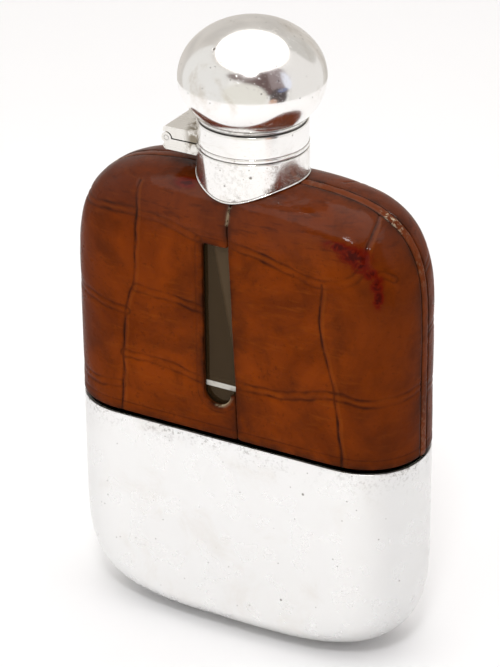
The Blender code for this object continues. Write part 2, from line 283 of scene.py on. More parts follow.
def unfold(flat):
    """Wrap flat pattern points round the body's front half and shoulders.

    On the flat front the pattern's two coordinates are x and z; past the front's outline
    they go on along the leather, round the soft edge to the middle of the side.
    """
    flat = np.asarray(flat, float)
    across_x = np.abs(flat[:, 0])
    above = np.maximum(flat[:, 1] - SHOULDER, 0.0)
    width, height = HALF_WIDTH - SIDE_EDGE, TOP_CORNER - TOP_EDGE
    power = TOP_CORNER_POWER
    scale = ((across_x / width) ** power + (above / height) ** power) ** (1.0 / power)
    scale = np.maximum(scale, 1e-9)
    unit_x, unit_z = across_x / width / scale, above / height / scale
    travel = np.hypot(across_x - width * unit_x, above - height * unit_z)
    travel[scale <= 1.0] = 0.0
    turns = np.linspace(math.pi / 2.0, 0.0, 49)
    across = across_at(turns)
    lane_x = unit_x[:, None] * side_reach(across)
    lane_z = unit_z[:, None] * top_reach(across)
    steps = np.sqrt(np.diff(lane_x) ** 2 + np.diff(lane_z) ** 2
                    + np.diff(HALF_THICKNESS * across) ** 2)
    length = np.concatenate([np.zeros((len(flat), 1)), np.cumsum(steps, axis=1)], axis=1)
    place = np.clip((length < travel[:, None]).sum(axis=1), 1, len(turns) - 1)
    rows = np.arange(len(flat))
    low, high = length[rows, place - 1], length[rows, place]
    share = np.clip((travel - low) / np.maximum(high - low, 1e-9), 0.0, 1.0)
    turn = turns[place - 1] + (turns[place] - turns[place - 1]) * share
    across = across_at(turn)
    on_front = scale <= 1.0
    across[on_front] = 1.0
    sign = np.where(flat[:, 0] < 0.0, -1.0, 1.0)
    solid = np.empty((len(flat), 3))
    solid[:, 0] = np.where(on_front, flat[:, 0], sign * unit_x * side_reach(across))
    solid[:, 1] = -HALF_THICKNESS * across
    rise = np.where(above > 0.0, SHOULDER + unit_z * top_reach(across), flat[:, 1])
    solid[:, 2] = np.where(on_front, flat[:, 1], rise)
    return solid


def unfold_normals(flat):
    small = 0.02
    flat = np.asarray(flat, float)
    along_x = unfold(flat + [small, 0.0]) - unfold(flat - [small, 0.0])
    along_z = unfold(flat + [0.0, small]) - unfold(flat - [0.0, small])
    normal = np.cross(along_x, along_z)
    return normal / np.maximum(np.linalg.norm(normal, axis=1), 1e-12)[:, None]


def smooth_least(*fields, blend=0.9):
    """The least of several distances, with the corners between them rounded."""
    least = fields[0]
    for field in fields[1:]:
        mix = np.clip(0.5 + 0.5 * (field - least) / blend, 0.0, 1.0)
        least = field * (1.0 - mix) + least * mix - blend * mix * (1.0 - mix)
    return least


def seam_x(height):
    share = (height - LEATHER_FOOT) / (SEAM_HIGH_Z - LEATHER_FOOT)
    return SEAM_LOW + (SEAM_HIGH - SEAM_LOW) * share


# ---- leather panels

CELL = 0.34
ROLL = 0.42  # radius of a panel's rounded edge
ROLL_TURNS = (25.0, 45.0, 65.0, 90.0)


def window_distance(flat):
    """How far a point is outside the window slot, in millimetres."""
    x, z = flat[:, 0], flat[:, 1]
    middle = WINDOW_LEFT + WINDOW_HALF
    beside = WINDOW_LEFT - x
    foot = np.hypot(x - middle, z - (WINDOW_FOOT + WINDOW_HALF)) - WINDOW_HALF
    slot = np.where(z < WINDOW_FOOT + WINDOW_HALF, foot, beside)
    return -smooth_least(-slot, WINDOW_TOP - z, blend=1.2)


def panel_distance(flat, kind):
    """How far a pattern point is inside a panel's outline."""
    solid = unfold(flat)
    welt = np.abs(solid[:, 1]) - WELT_HIGH.y - PANEL_GAP
    collar = np.hypot(solid[:, 0], solid[:, 1]) - (SHELL_BORE + COLLAR_GAP)
    fields = [flat[:, 1] - LEATHER_FOOT, welt, collar]
    if kind == "left":
        fields += [seam_x(flat[:, 1]) - flat[:, 0] - SEAM_GAP, window_distance(flat)]
    if kind == "right":
        fields.append(flat[:, 0] - seam_x(flat[:, 1]) - SEAM_GAP)
    return smooth_least(*fields)


def cut_pattern(kind):
    """A grid trimmed to the panel's outline: pattern points, faces, and the outline's edges."""
    xs = np.arange(-53.0, 53.0 + CELL, CELL)
    zs = np.arange(LEATHER_FOOT - 1.0, 127.0, CELL)
    columns = len(zs)
    grid = np.stack(np.meshgrid(xs, zs, indexing="ij"), axis=-1).reshape(-1, 2)
    depth = panel_distance(grid, kind) - ROLL
    inside = depth > 0.0
    number = np.full(len(grid), -1)
    number[inside] = np.arange(inside.sum())
    kept = inside.sum()
    crossing = {}
    faces, rim = [], []
    for row in range(len(xs) - 1):
        for column in range(columns - 1):
            first = row * columns + column
            corners = (first, first + columns, first + columns + 1, first + 1)
            flags = [inside[corner] for corner in corners]
            if not any(flags):
                continue
            if all(flags):
                faces.append([number[corner] for corner in corners])
                continue
            face, cuts = [], []
            for index in range(4):
                here, after = corners[index], corners[(index + 1) % 4]
                if inside[here]:
                    face.append(number[here])
                if inside[here] != inside[after]:
                    key = (min(here, after), max(here, after))
                    point = crossing.setdefault(key, kept + len(crossing))
                    face.append(point)
                    cuts.append((point, inside[here]))
            faces.append(face)
            if len(cuts) == 2:
                leaving = [point for point, out in cuts if out][0]
                entering = [point for point, out in cuts if not out][0]
                rim.append((leaving, entering))
    first, second = np.array(list(crossing)).T
    share = depth[first] / (depth[first] - depth[second])
    cut = grid[first] + (grid[second] - grid[first]) * share[:, None]
    return np.concatenate([grid[inside], cut]), faces, rim


def outline_steps(start, kind):
    """Walk outline points outwards in steps, from a roll's width inside to the very edge."""
    rows = []
    point = start
    small = 0.01
    for turn in ROLL_TURNS:
        target = ROLL * (1.0 - math.sin(math.radians(turn)))
        for _ in range(3):
            here = panel_distance(point, kind)
            rises = [panel_distance(point + step, kind) - panel_distance(point - step, kind)
                     for step in np.eye(2) * small]
            slope = np.stack(rises, axis=1) / (2.0 * small)
            steep = np.maximum((slope ** 2).sum(axis=1), 0.05)
            point = point - slope * ((here - target) / steep)[:, None]
        rows.append(point)
    return rows


def leather_panel(kind, node, material):
    """One closed leather panel, tooled outside, in place of its CAD node."""
    pattern, faces, rim = cut_pattern(kind)
    rim_points = sorted({point for edge in rim for point in edge})
    rows = [rim_points]
    total = len(pattern)
    drops = [np.zeros(total)]
    for turn, row in zip(ROLL_TURNS, outline_steps(pattern[rim_points], kind)):
        rows.append(list(range(total, total + len(row))))
        total += len(row)
        pattern = np.concatenate([pattern, row])
        drops.append(np.full(len(row), ROLL * (1.0 - math.cos(math.radians(turn)))))
    index = {point: place for place, point in enumerate(rim_points)}
    for outer, inner in zip(rows, rows[1:]):
        for leaving, entering in rim:
            a, b = index[leaving], index[entering]
            faces.append((outer[b], outer[a], inner[a], inner[b]))
    sunk, groove, ridge = tooling(pattern, kind)
    height = np.concatenate([sunk - np.concatenate(drops), np.full(total, -LEATHER)])
    faces += [tuple(point + total for point in reversed(face)) for face in faces]
    for leaving, entering in rim:
        a, b = rows[-1][index[leaving]], rows[-1][index[entering]]
        faces.append((b, a, a + total, b + total))
    normals = np.tile(unfold_normals(pattern), (2, 1))
    solid = np.tile(unfold(pattern), (2, 1)) + normals * height[:, None]
    depth = np.maximum(panel_distance(pattern, kind), 0.0)
    edge = 0.6 * np.exp(-depth / 0.9) + 0.4 * np.exp(-depth / 4.0)
    blank = np.zeros(total)
    stain = glue = blank
    if kind != "back":
        for x, z, wide, high in STAINS:
            away = np.hypot((pattern[:, 0] - x) / wide, (pattern[:, 1] - z) / high)
            stain = np.maximum(stain, np.exp(-away ** 2))
        beside = np.abs(pattern[:, 0] - seam_x(pattern[:, 1]))
        high_seam = np.exp(-(beside / 0.5) ** 2) * (pattern[:, 1] > 105.0)
        below = WINDOW_FOOT + WINDOW_HALF * 0.9 - pattern[:, 1]
        rightward = pattern[:, 0] - (WINDOW_LEFT + WINDOW_HALF * 0.8)
        lip = np.clip(below, 0.0, 1.0) * np.clip(rightward, 0.0, 1.0)
        lip *= np.abs(window_distance(pattern)) < 0.8
        glue = np.maximum(high_seam, lip) * np.exp(-depth / 0.25)
    else:
        solid[:, 1] *= -1.0
        faces = [tuple(reversed(face)) for face in faces]
    outside = {"groove": groove, "edge": edge, "ridge": ridge, "stain": stain, "glue": glue}
    layers = {key: np.concatenate([values, blank]) for key, values in outside.items()}
    layers["flesh"] = np.concatenate([blank, blank + 1.0])
    finish_mesh(node + "_tooled", solid, faces, material, "bottle", node, layers)


# Tooled lines on the flat pattern, a few points each. A crack is a thin cut, painted dark as shade,
# with a low ridge on its right painted lighter as a highlight; a fold is a low ridge, painted
# lighter, between two shallow lines painted dark as shade.
FRONT_CRACKS = [
    [(-23.3, 113.0), (-22.3, 105.2), (-23.2, 88.3), (-25.6, 79.8), (-26.7, 61.8), (-27.3, 53.0)],
    [(35.2, 103.4), (34.9, 108.5), (35.8, 114.0), (37.2, 119.0)],
    [(25.7, 98.0), (25.4, 85.6), (28.9, 71.5), (31.0, 53.0)],
]
FRONT_FOLDS = [
    [(-46.5, 107.5), (-36.0, 105.0), (-22.3, 105.2), (-13.5, 104.3), (-5.9, 102.2)],
    [(3.0, 102.6), (11.8, 101.0), (19.0, 99.2), (25.7, 98.0), (31.5, 99.6), (35.3, 103.6)],
    [(35.3, 103.2), (37.6, 101.9), (39.4, 102.9), (41.6, 102.2)],
    [(-52.0, 83.4), (-38.0, 81.6), (-25.4, 79.6)],
    [(-52.0, 61.6), (-40.5, 59.6), (-34.0, 59.6), (-26.9, 60.6)],
    [(-22.6, 86.2), (-14.0, 85.8), (-5.0, 84.7)],
    [(-26.0, 68.7), (-15.0, 68.5), (-5.2, 66.8)],
    [(3.6, 67.7), (16.2, 68.2), (28.4, 71.2), (36.0, 70.2), (45.0, 70.8), (52.0, 71.5)],
]
BACK_CRACKS = [
    [(-2.0, 102.0), (-2.6, 85.0), (-1.2, 69.0), (-1.8, 53.0)],
    [(-24.0, 119.0), (-24.8, 102.2), (-23.5, 85.0), (-26.0, 69.0), (-25.2, 53.0)],
    [(22.0, 119.0), (22.8, 102.6), (21.0, 86.0), (23.6, 70.0), (23.0, 53.0)],
]
BACK_FOLDS = [
    [(-52.0, 100.0), (-38.0, 103.0), (-22.0, 102.2), (-2.0, 102.0), (15.0, 103.4), (31.0, 101.6),
     (52.0, 103.5)],
    [(-52.0, 83.0), (-36.0, 84.6), (-23.7, 85.0), (-2.6, 85.3), (21.0, 86.0), (37.0, 84.5),
     (52.0, 85.5)],
    [(-52.0, 65.5), (-38.0, 67.8), (-26.0, 69.0), (-1.2, 68.6), (23.6, 70.0), (38.0, 68.5),
     (52.0, 69.5)],
]

# Dark red dye that has run together at the shoulders: x, z and half sizes on the flat pattern
STAINS = [(32.6, 106.3, 3.6, 2.3), (34.4, 104.3, 2.1, 1.8), (28.8, 107.8, 3.0, 1.2),
          (36.7, 102.6, 1.7, 1.4), (38.1, 100.4, 1.4, 2.4), (38.6, 97.0, 1.1, 2.6),
          (-11.5, 115.0, 2.8, 1.5)]


def catmull(points, steps=8):
    """A smooth line through a few points."""
    points = [np.array(point, float) for point in points]
    padded = [2 * points[0] - points[1]] + points + [2 * points[-1] - points[-2]]
    line = []
    for before, start, end, after in zip(padded, padded[1:], padded[2:], padded[3:]):
        for step in range(steps):
            t = step / steps
            line.append(0.5 * (2 * start + (end - before) * t
                               + (2 * before - 5 * start + 4 * end - after) * t ** 2
                               + (3 * start - before - 3 * end + after) * t ** 3))
    return np.array(line + [points[-1]])


def line_distance(flat, line):
    nearest = np.full(len(flat), 1e9)
    for start, end in zip(line, line[1:]):
        run = end - start
        share = np.clip((flat - start) @ run / max(run @ run, 1e-9), 0.0, 1.0)
        gap = flat - start - share[:, None] * run
        nearest = np.minimum(nearest, np.hypot(gap[:, 0], gap[:, 1]))
    return nearest


def waver(flat, size, phase=0.0):
    """A smooth, repeatable wandering between about -1 and 1."""
    x, z = flat[:, 0] / size, flat[:, 1] / size
    return (np.sin(1.7 * x + 0.9 * z + phase) + np.sin(-0.8 * x + 1.9 * z + 1.3 + phase)
            + np.sin(2.9 * x + 2.3 * z + 2.1 * phase)) / 3.0


def tooling(pattern, kind):
    """Height of the tooled leather, and how much each point is in a line and on a ridge."""
    wobble = np.stack([waver(pattern, 2.4), waver(pattern, 2.1, 4.0)], axis=1) * 0.22
    shifted = pattern + wobble
    groove, ridge, swell = np.zeros((3, len(pattern)))
    back = kind == "back"
    for number, points in enumerate(BACK_CRACKS if back else FRONT_CRACKS):
        line = catmull(points)
        away = line_distance(shifted, line)
        deep = 0.8 + 0.3 * waver(pattern, 8.0, number)
        groove = np.maximum(groove, deep * np.exp(-(away / 0.36) ** 2))
        beside = line_distance(shifted - [1.0, 0.0], line)
        ridge = np.maximum(ridge, 0.7 * np.exp(-(beside / 0.5) ** 2))
        swell = np.maximum(swell, np.exp(-away / 2.2))
    for number, points in enumerate(BACK_FOLDS if back else FRONT_FOLDS):
        away = line_distance(shifted, catmull(points))
        deep = 0.5 + 0.25 * waver(pattern, 6.0, number)
        ridge = np.maximum(ridge, deep * np.exp(-(away / 0.42) ** 2))
        groove = np.maximum(groove, deep * np.exp(-((away - 0.9) / 0.45) ** 2))
        swell = np.maximum(swell, np.exp(-away / 2.2))
    height = 0.08 * ridge - 0.2 * groove - 0.13 * swell
    height += 0.05 * waver(pattern, 6.0, 0.5) * (1.0 - swell) + 0.02 * waver(pattern, 2.2, 2.0)
    crease = np.exp(-((pattern[:, 1] - LEATHER_FOOT - 2.4) / 0.3) ** 2)
    if kind == "left":
        away = window_distance(pattern) - 1.7
        ring = np.exp(-(away / 0.28) ** 2) * (pattern[:, 0] < seam_x(pattern[:, 1]))
        crease = np.maximum(crease, ring)
    height -= 0.09 * crease
    # The creases take painted shade through the groove layer.
    groove = np.maximum(groove, 0.45 * crease)
    return height, np.clip(groove, 0.0, 1.0), ridge


def build_leather(material):
    leather_panel("left", "front_leather_left", material)
    leather_panel("right", "front_leather_right", material)
    leather_panel("back", "back_leather", material)


# ---- silver drinking cup

CUP_COLUMNS = 24


def trough(across, depth, inset, floor):
    """A line down one side of the cup, under it and up the other side, at one depth."""
    side = side_reach(across, inset)
    arc_x, arc_z = corner_arc(np.linspace(0.0, math.pi / 2.0, 29), side,
                              foot_reach(across, inset), FOOT_CORNER_POWER)
    down_z = np.linspace(CUP_RIM, KNEE, 9)[:-1]
    half_x = np.concatenate([np.full(8, side), arc_x])
    half_z = np.concatenate([down_z, np.maximum(KNEE - arc_z, floor)])
    xs = np.concatenate([half_x, -half_x[-2::-1]])
    zs = np.concatenate([half_z, half_z[-2::-1]])
    return np.stack([xs, np.full(len(xs), depth), zs], axis=1)


def cup_skin(inset, floor):
    """The cup's outer or inner surface, and its rim line as indices."""
    lines = []
    for turn in np.linspace(-math.pi / 2.0, math.pi / 2.0, 37):
        across = across_at(turn)
        depth = math.copysign((HALF_THICKNESS - inset) * across, turn)
        lines.append(trough(across, depth, inset, floor))
    lines = np.array(lines)
    rows, columns = lines.shape[:2]
    points = [lines.reshape(-1, 3)]
    faces = loft_faces(rows, columns, False, False)
    right_rim = [row * columns for row in range(rows)]
    left_rim = [row * columns + columns - 1 for row in range(rows)]
    total = rows * columns
    flats = []
    for line in (lines[0], lines[-1]):
        middle = columns // 2
        shares = np.linspace(1.0, -1.0, CUP_COLUMNS + 1)
        sheet = np.empty((middle + 1, CUP_COLUMNS + 1, 3))
        sheet[:, :, 0] = line[:middle + 1, 0][:, None] * shares
        sheet[:, :, 1] = line[0, 1]
        sheet[:, :, 2] = line[:middle + 1, 2][:, None]
        points.append(sheet.reshape(-1, 3))
        faces += shifted(loft_faces(middle + 1, CUP_COLUMNS + 1, False, False), total)
        flats.append([total + column for column in range(CUP_COLUMNS + 1)])
        total += sheet.shape[0] * sheet.shape[1]
    rim = right_rim[:-1] + flats[1] + left_rim[::-1][1:-1] + flats[0][::-1]
    return np.concatenate(points), faces, rim


def build_cup(material):
    outer, outer_faces, outer_rim = cup_skin(0.0, 0.0)
    inner, inner_faces, inner_rim = cup_skin(CUP_WALL, CUP_WALL)
    shift = len(outer)
    faces = outer_faces + shifted(inner_faces, shift)
    for index, place in enumerate(outer_rim):
        faces.append((outer_rim[index - 1], place,
                      inner_rim[index] + shift, inner_rim[index - 1] + shift))
    points = np.concatenate([outer, inner])
    # Painted shade: the tone layer greys the cup towards its sides and its bottom, where its
    # reflections darken.
    beside = np.clip((np.abs(points[:, 0]) - 30.0) / 11.0, 0.0, 1.0)
    below = np.clip((8.0 - points[:, 2]) / 8.0, 0.0, 1.0)
    layers = {"tone": np.maximum(beside, below) ** 1.5,
              "grime": 0.8 * np.exp(-(CUP_RIM - points[:, 2]) / 2.2)}
    cup = finish_mesh("silver_drinking_cup", points, faces, material, "cup",
                      "drinking_cup", layers)
    soften(face_out(cup), 0.22)


# ---- welts

WELT_STEPS = 120
WELT_RUB_X = 35.5  # where the right welt is rubbed most
WELT_SPREAD = 0.08  # how much further than the CAD's welt it reaches towards each panel


def welt_path():
    """The middle of the side from the leather's foot up and over the shoulder to the collar."""
    straight = [(HALF_WIDTH, z) for z in np.linspace(LEATHER_FOOT, SHOULDER, 24)[:-1]]
    turns = np.linspace(0.0, math.pi / 2.0, WELT_STEPS)
    arc = np.stack(corner_arc(turns, HALF_WIDTH, TOP_CORNER, TOP_CORNER_POWER), axis=1)
    return np.concatenate([straight, arc[arc[:, 0] >= SHELL_BORE] + [0.0, SHOULDER]])


def build_welt(node, side, material):
    """A narrow crowned strip between the front and the back leather."""
    path = welt_path()
    run = np.gradient(path, axis=0)
    run /= np.linalg.norm(run, axis=1)[:, None]
    outward = np.stack([run[:, 1], -run[:, 0]], axis=1)
    half = WELT_HIGH.y + WELT_SPREAD
    section = []
    for turn in np.linspace(-math.pi / 2.0, math.pi / 2.0, 15):
        width = math.copysign(abs(math.sin(turn)) ** 0.75, turn) * half
        section.append((width, 0.02 - 0.55 * (1.0 - math.cos(turn) ** 0.5)))
    section = [(-half, -LEATHER)] + section + [(half, -LEATHER)]
    points, wear, borders = [], [], []
    for index, (place, out) in enumerate(zip(path, outward)):
        rub = math.exp(-((place[0] - WELT_RUB_X) / 2.2) ** 2) * (place[1] > SHOULDER)
        worn = max(rub, 0.14 * math.sin(index * 0.11 + 1.0) - 0.05)
        for width, height in section:
            spot = place + out * (height + 0.03 * math.sin(index * 0.9 + width))
            points.append((side * spot[0], width, spot[1]))
            wear.append(worn)
            borders.append(math.exp(-((half - abs(width)) / 0.28) ** 2))
    rows, columns = len(path), len(section)
    faces = loft_faces(rows, columns, False, True)
    faces += [tuple(range(columns)), tuple(range((rows - 1) * columns, rows * columns))]
    face_out(finish_mesh(node + "_strip", points, faces, material, "bottle", node,
                         {"worn": wear, "edge": borders}))


# ---- neck and cap

def shoulder_height(x, y):
    """Height of the leather's outer surface over a point near the neck."""
    across = np.clip(np.abs(y) / HALF_THICKNESS, 0.0, 1.0)
    share = np.clip(np.abs(x) / side_reach(across), 0.0, 1.0)
    power = TOP_CORNER_POWER
    return SHOULDER + top_reach(across) * (1.0 - share ** power) ** (1.0 / power)


def build_collar(material):
    """The fixed collar: its foot follows the shoulder and turns out in a thin rim."""
    steps = 240
    angles = np.linspace(0.0, 2.0 * math.pi, steps, endpoint=False)
    top = COLLAR_HIGH.z
    foot = shoulder_height(COLLAR_RADIUS * np.cos(angles), COLLAR_RADIUS * np.sin(angles)) + 0.1
    rim = [(0.0, 2.4), (0.01, 1.2), (0.03, 0.66), (0.03, 0.5), (0.1, 0.4), (0.2, 0.34),
           (0.24, 0.22), (0.2, 0.08), (0.0, 0.0)]
    below = [(COLLAR_RADIUS + out, rise) for out, rise in rim] + [(SHELL_BORE, 0.0)]
    above = [(SHELL_BORE, top - 0.15), (SHELL_BORE + 0.15, top), (COLLAR_RADIUS - 0.15, top),
             (COLLAR_RADIUS - 0.04, top - 0.04), (COLLAR_RADIUS, top - 0.15),
             (COLLAR_RADIUS, top - 0.3), (COLLAR_RADIUS, top - 1.5)]
    points = []
    for angle, low in zip(angles, foot):
        for radius, height in above + [(radius, low + rise) for radius, rise in below]:
            points.append((radius * math.cos(angle), radius * math.sin(angle), height))
    faces = loft_faces(steps, len(above) + len(below), True, True)
    grime = [0.0, 0.2, 0.3, 0.3, 0.6, 0.5, 0.2, 0.15, 0.6, 0.9, 1.0, 1.0, 0.4, 0.1, 0.3, 0.3, 0.0]
    face_out(finish_mesh("silver_collar", points, faces, material, "bottle",
                         "neck_collar", {"grime": np.tile(grime, steps)}))


def build_ring(material):
    """The hinged ring: a bead along its foot, a flange at its top."""
    low, high = RING_LOW.z, RING_HIGH.z
    bead = low + 0.9
    corners = [(SHELL_BORE, low), (COLLAR_RADIUS, low), (COLLAR_RADIUS, bead - 0.12),
               (RING_RADIUS - 0.08, bead), (RING_RADIUS, bead + 0.12), (RING_RADIUS, high),
               (9.4, high), (9.4, high - 0.7), (SHELL_BORE, high - 0.7)]
    points, faces = turned(round_profile(corners, 0.14))
    grime = np.exp(-((points[:, 2] - bead) / 0.14) ** 2)
    grime += 0.7 * np.exp(-(points[:, 2] - low) / 0.5) * (points[:, 2] < bead)
    face_out(finish_mesh("silver_hinged_ring", points, faces, material, "cap_ring",
                         "hinge_ring", {"grime": np.minimum(grime, 1.0)}))


def build_bun(material):
    """The hollow bun: an oblate shell on a narrow vertical foot."""
    outer_end = math.asin((BUN_FOOT_RADIUS + 0.1) / BUN_RADIUS)
    mouth = BUN_FOOT_RADIUS - BUN_WALL
    inner_radius, inner_half = BUN_RADIUS - BUN_WALL, BUN_HALF_HEIGHT - BUN_WALL
    inner_end = math.asin(mouth / inner_radius)
    outer = [(BUN_RADIUS * math.sin(turn), BUN_CENTRE + BUN_HALF_HEIGHT * math.cos(turn))
             for turn in np.linspace(0.0, math.pi - outer_end, 72)]
    inner = [(inner_radius * math.sin(turn), BUN_CENTRE + inner_half * math.cos(turn))
             for turn in np.linspace(math.pi - inner_end, 0.0, 40)]
    foot = BUN_LOW.z
    lip = [(BUN_FOOT_RADIUS - 0.12, outer[-1][1] - 0.12), (BUN_FOOT_RADIUS - 0.12, foot + 0.36),
           (BUN_FOOT_RADIUS + 0.04, foot + 0.24), (BUN_FOOT_RADIUS + 0.04, foot + 0.06),
           (BUN_FOOT_RADIUS - 0.04, foot), (mouth, foot)]
    points, faces = turned(outer + lip + inner, steps=192, closed=False)
    above = points[:, 2] - foot
    grime = np.where(above < 0.3, 1.0, 0.85 * np.exp(-above / 0.8))
    # Painted shade: the tone layer greys the bun a little round its top.
    tone = np.exp(-((points[:, 2] - BUN_HIGH.z) / 3.2) ** 2)
    face_out(finish_mesh("silver_bun", points, faces, material, "bun",
                         "bun_shell", {"grime": grime, "tone": 0.2 * tone}))


# ---- hinge

def rod(name, radius, length, middle, turn, steps):
    """A round rod as a loose object for carving; middle is in metres."""
    maker = bmesh.new()
    bmesh.ops.create_cone(maker, cap_ends=True, segments=steps, radius1=radius * MM,
                          radius2=radius * MM, depth=length * MM)
    bmesh.ops.rotate(maker, matrix=Matrix.Rotation(turn, 3, "X"), verts=maker.verts)
    bmesh.ops.translate(maker, vec=middle, verts=maker.verts)
    return loose(name, maker)


def bar(name, radius, near, far):
    """A rod along the hinge pin's axis."""
    middle = Vector((PIN_X, (near + far) / 2.0, SEAM_Z)) * MM
    return rod(name, radius, far - near, middle, math.pi / 2.0, 48)


def upright(name, radius, low, high):
    """A rod along the Z axis."""
    return rod(name, radius, high - low, (0.0, 0.0, (low + high) / 2.0 * MM), 0.0, 160)


def carve(piece, tool, operation):
    """Apply a Boolean with a loose object and remove that object."""
    modifier = piece.modifiers.new("carve", "BOOLEAN")
    modifier.operation = operation
    modifier.object = tool
    modifier.solver = "EXACT"
    result = bpy.data.meshes.new_from_object(
        piece.evaluated_get(bpy.context.evaluated_depsgraph_get()))
    piece.modifiers.clear()
    piece.data = result
    bpy.data.objects.remove(tool, do_unlink=True)


def leaf_outline(upward):
    """A leaf's X-Z outline. Its end leans back from the pin, so open leaves clear each other."""
    near, far = upward * LEAF_GAP, upward * (LEAF_HIGH.z - SEAM_Z)
    end = LEAF_LOW.x + 0.35
    outline = [(LEAF_ROOT_X, near), (PIN_X - LEAF_LEAN * LEAF_GAP, near),
               (end, upward * (PIN_X - end) / LEAF_LEAN)]
    for turn in np.linspace(0.0, math.pi / 2.0, 7):
        outline.append((end + LEAF_CORNER * (1.0 - math.cos(turn)),
                        far - upward * LEAF_CORNER * (1.0 - math.sin(turn))))
    outline.append((LEAF_ROOT_X, far))
    return [(x, SEAM_Z + z) for x, z in outline]


def build_leaf(side, upward, neck, body, material, relief, knuckles):
    """One hinge leaf; relief and knuckles are runs along the pin."""
    half = LEAF_HIGH.y
    maker = bmesh.new()
    corners = [maker.verts.new((x * MM, -half * MM, z * MM)) for x, z in leaf_outline(upward)]
    swept = bmesh.ops.extrude_face_region(maker, geom=[maker.faces.new(corners)])["geom"]
    moved = [part for part in swept if isinstance(part, bmesh.types.BMVert)]
    bmesh.ops.translate(maker, vec=(0.0, 2.0 * half * MM, 0.0), verts=moved)
    bmesh.ops.recalc_face_normals(maker, faces=maker.faces)
    leaf = loose("silver_" + side + "_leaf", maker)
    carve(leaf, upright("neck_cut", neck - 0.05, 110.0, 135.0), "DIFFERENCE")
    for run in relief:
        carve(leaf, bar("relief", RELIEF_RADIUS, *run), "DIFFERENCE")
    for run in knuckles:
        carve(leaf, bar("knuckle", KNUCKLE_RADIUS, *run), "UNION")
    carve(leaf, bar("pin_bore", PIN_BORE, -half - 5.0, half + 5.0), "DIFFERENCE")
    dress(leaf, material, body, "hinge_" + side + "_leaf")
    leaf.data.set_sharp_from_angle(angle=math.radians(30.0))
    soften(leaf, 0.16, angle=40.0)


def build_hinge(material):
    half, middle = LEAF_HIGH.y, MIDDLE_KNUCKLE
    far = middle + KNUCKLE_GAP
    build_leaf("lower", -1.0, COLLAR_RADIUS, "bottle", material,
               [(-far, far)], [(-half, -far), (far, half)])
    build_leaf("upper", 1.0, RING_RADIUS, "cap_ring", material,
               [(-half - 1.0, -middle), (middle, half + 1.0)], [(-middle, middle)])


# ---- glass bottle

def pillow_piece(name, inset, floor):
    """The whole body's closed shape at an inset, as a loose object for carving."""
    corner = np.linspace(0.0, math.pi / 2.0, 25)
    rings = []
    for turn in np.linspace(-math.pi / 2.0, math.pi / 2.0, 31):
        across = across_at(turn)
        side = side_reach(across, inset)
        up_x, up_z = corner_arc(corner, side, top_reach(across, inset), TOP_CORNER_POWER)
        down_x, down_z = corner_arc(corner, side, foot_reach(across, inset), FOOT_CORNER_POWER)
        up_z, down_z = SHOULDER + up_z, np.maximum(KNEE - down_z, floor)
        xs = np.concatenate([up_x, -up_x[-2::-1], -down_x, down_x[-2::-1]])
        zs = np.concatenate([up_z, up_z[-2::-1], down_z, down_z[-2::-1]])
        depth = math.copysign((HALF_THICKNESS - inset) * across, turn)
        rings.append(np.stack([xs, np.full(len(xs), depth), zs], axis=1))
    rings = np.array(rings) * MM
    rows, columns = rings.shape[:2]
    maker = bmesh.new()
    corners = [maker.verts.new(point) for point in rings.reshape(-1, 3)]
    for face in loft_faces(rows, columns, False, True):
        maker.faces.new([corners[index] for index in face])
    maker.faces.new(corners[:columns])
    maker.faces.new(corners[-columns:])
    bmesh.ops.recalc_face_normals(maker, faces=maker.faces)
    return loose(name, maker)


def build_glass(material):
    bottle = pillow_piece("clear_glass_bottle", GLASS_INSET, GLASS_LOW.z)
    carve(bottle, upright("neck", NECK_RADIUS, SEAM_Z - NECK_RUN, GLASS_HIGH.z), "UNION")
    carve(bottle, pillow_piece("hollow", GLASS_INSET + GLASS_WALL, -10.0), "DIFFERENCE")
    carve(bottle, upright("bore", NECK_BORE, SEAM_Z - NECK_RUN, GLASS_HIGH.z + 5.0), "DIFFERENCE")
    dress(bottle, material, "bottle", "glass_bottle")
    bottle.data.set_sharp_from_angle(angle=math.radians(40.0))


# ---- material nodes

def is_socket(value):
    return isinstance(value, bpy.types.NodeSocket)


def tree_of(*values):
    """The node tree of the first socket among some values."""
    return next(value.id_data for value in values if is_socket(value))


def fill(node, inputs):
    """Set or link a node's inputs, given by name or by number."""
    for key, value in inputs.items():
        if is_socket(value):
            node.id_data.links.new(value, node.inputs[key])
        else:
            node.inputs[key].default_value = value
    return node


def add_node(tree, kind, inputs=None, **settings):
    """Add a node, set its properties, and set or link its inputs."""
    node = tree.nodes.new("ShaderNode" + kind)
    for key, value in settings.items():
        setattr(node, key, value)
    return fill(node, inputs or {})


def start_material(name):
    """A new material, its shader node and the socket for a point's place."""
    material = bpy.data.materials.new(name)
    material.use_nodes = True
    tree = material.node_tree
    return material, tree.nodes["Principled BSDF"], add_node(tree, "TexCoord").outputs["Object"]


def noise(place, scale, detail=4.0, roughness=0.55, distortion=0.0):
    inputs = {"Vector": place, "Scale": scale, "Detail": detail, "Roughness": roughness,
              "Distortion": distortion}
    return add_node(tree_of(place), "TexNoise", inputs).outputs["Fac"]


def band(value, low, high, start=0.0, end=1.0):
    """Map value from low..high to start..end with soft ends."""
    inputs = {"Value": value, "From Min": low, "From Max": high, "To Min": start, "To Max": end}
    node = add_node(tree_of(value), "MapRange", inputs, interpolation_type="SMOOTHSTEP")
    return node.outputs["Result"]


def combine(operation, *values):
    node = add_node(tree_of(*values), "Math", dict(enumerate(values)), operation=operation)
    return node.outputs[0]


def times(*values):
    product = values[0]
    for value in values[1:]:
        product = combine("MULTIPLY", product, value)
    return product


def greatest(*values):
    most = values[0]
    for value in values[1:]:
        most = combine("MAXIMUM", most, value)
    return most


